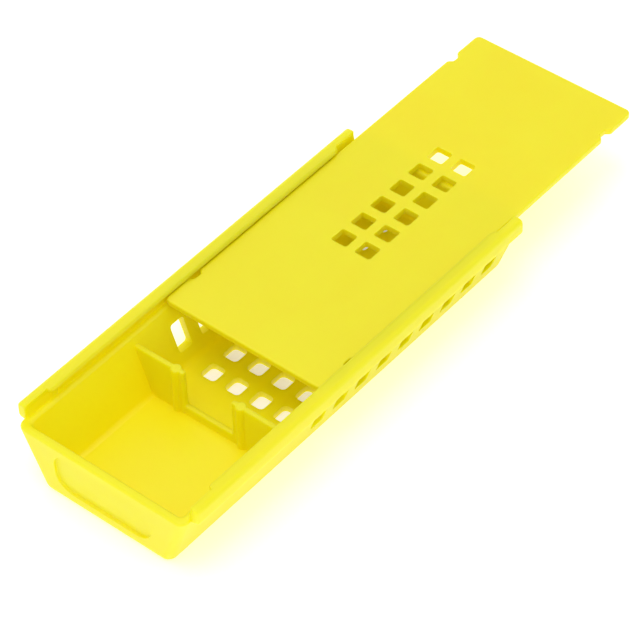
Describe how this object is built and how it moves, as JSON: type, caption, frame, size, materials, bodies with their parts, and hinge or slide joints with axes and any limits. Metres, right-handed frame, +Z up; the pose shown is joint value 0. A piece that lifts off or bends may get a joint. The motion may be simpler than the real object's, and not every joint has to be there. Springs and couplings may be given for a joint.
{
  "type": "queen cage",
  "caption": "Small vented plastic tray with a candy compartment, a divider with a passage and two side rails, shut by a flat vented cover that slides lengthways.",
  "frame": {"origin": "middle of the tray's flat underside", "axes": "+X along the cage, out of the end that the cover is drawn from; +Y across the cage; +Z up, out of the open top"},
  "size_m": [0.1121, 0.036, 0.014],
  "materials": {
    "tray_plastic": "semi-gloss, slightly translucent yellow polypropylene",
    "cover_plastic": "semi-gloss, slightly translucent yellow polypropylene"
  },
  "bodies": {
    "tray": {"tray_body": "tray_plastic"},
    "cover": {"sliding_cover": "cover_plastic"}
  },
  "joints": [
    {"name": "cover_slide", "type": "slide", "parent": "tray", "child": "cover", "axis": [1, 0, 0], "range_m": [-0.0314, 0.0475]}
  ]
}
